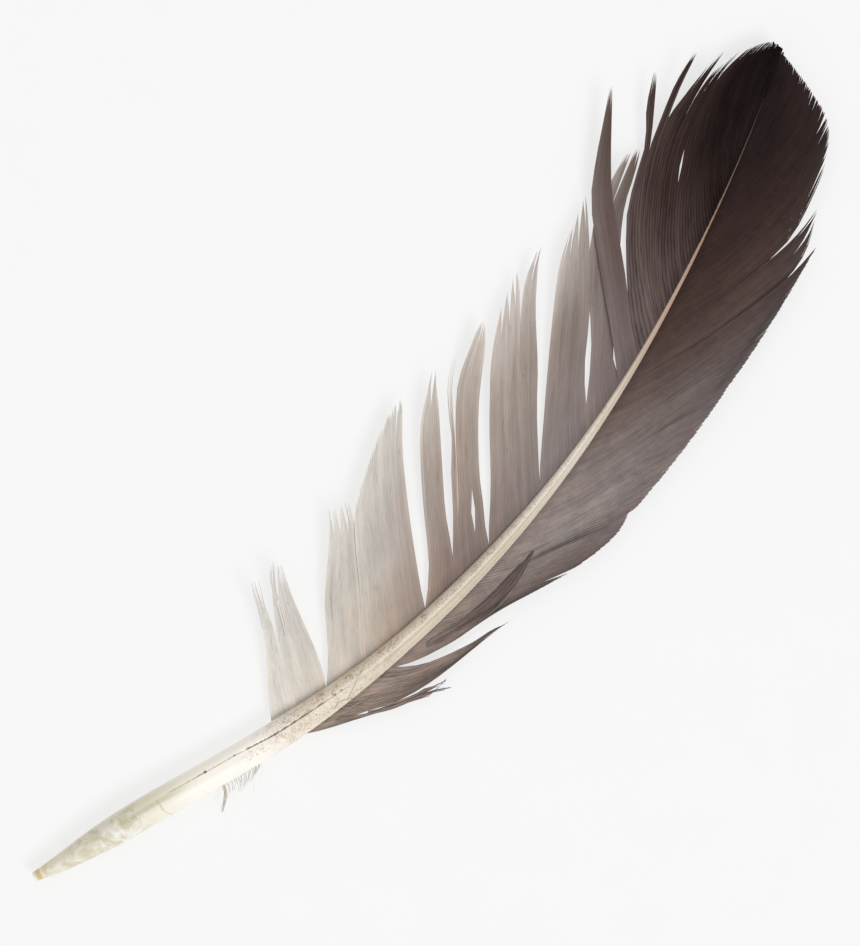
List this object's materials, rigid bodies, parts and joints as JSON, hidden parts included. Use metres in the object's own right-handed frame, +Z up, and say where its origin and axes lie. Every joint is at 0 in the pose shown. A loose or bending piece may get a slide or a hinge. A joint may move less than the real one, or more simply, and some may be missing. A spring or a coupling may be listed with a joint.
{
  "type": "quill pen",
  "caption": "Quill pen made of one long curved flight feather: a hollow tapering barrel to hold and dip, and a grooved shaft that carries a wide split vane and a narrow vane of barbs.",
  "frame": {"origin": "middle of the bounding box's bottom face, on the desk that the quill lies on", "axes": "+X from the barrel's cut end to the feather's tip, along the straight line between them; +Y towards the wide vane; +Z up, out of the feather's grooved underside"},
  "size_m": [0.2786, 0.0746, 0.0085],
  "materials": {
    "barrel_horn": "translucent horn, satin",
    "shaft_horn": "satin horn with fine brown specks",
    "pith": "matt white foam-like pith",
    "membrane": "thin dry membrane",
    "pale_barbs": "matt, combed along the barbs",
    "grey_barbs": "matt, combed along the barbs",
    "dark_barbs": "matt with a soft sheen, combed along the barbs",
    "down": "loose fine hairs"
  },
  "bodies": {
    "root": {"barrel": "barrel_horn", "down_tuft_1": "down", "down_tuft_2": "down", "narrow_vane_tuft_01": "grey_barbs", "narrow_vane_tuft_02": "grey_barbs", "narrow_vane_tuft_03": "grey_barbs", "narrow_vane_tuft_04": "grey_barbs", "narrow_vane_tuft_05": "grey_barbs", "narrow_vane_tuft_06": "dark_barbs", "narrow_vane_tuft_07": "dark_barbs", "narrow_vane_tuft_08": "dark_barbs", "narrow_vane_tuft_09": "dark_barbs", "pulp_cap_1": "membrane", "pulp_cap_2": "membrane", "pulp_cap_3": "membrane", "pulp_cap_4": "membrane", "pulp_cap_5": "membrane", "shaft": "shaft_horn", "shaft_pith": "pith", "wide_vane_tuft_01": "pale_barbs", "wide_vane_tuft_02": "pale_barbs", "wide_vane_tuft_03": "pale_barbs", "wide_vane_tuft_04": "grey_barbs", "wide_vane_tuft_05": "grey_barbs", "wide_vane_tuft_06": "grey_barbs", "wide_vane_tuft_07": "grey_barbs", "wide_vane_tuft_08": "grey_barbs", "wide_vane_tuft_09": "grey_barbs", "wide_vane_tuft_10": "grey_barbs", "wide_vane_tuft_11": "grey_barbs", "wide_vane_tuft_12": "dark_barbs", "wide_vane_tuft_13": "dark_barbs", "wide_vane_tuft_14": "dark_barbs", "wide_vane_tuft_15": "dark_barbs", "wide_vane_tuft_16": "dark_barbs", "wide_vane_tuft_17": "dark_barbs"}
  },
  "joints": []
}
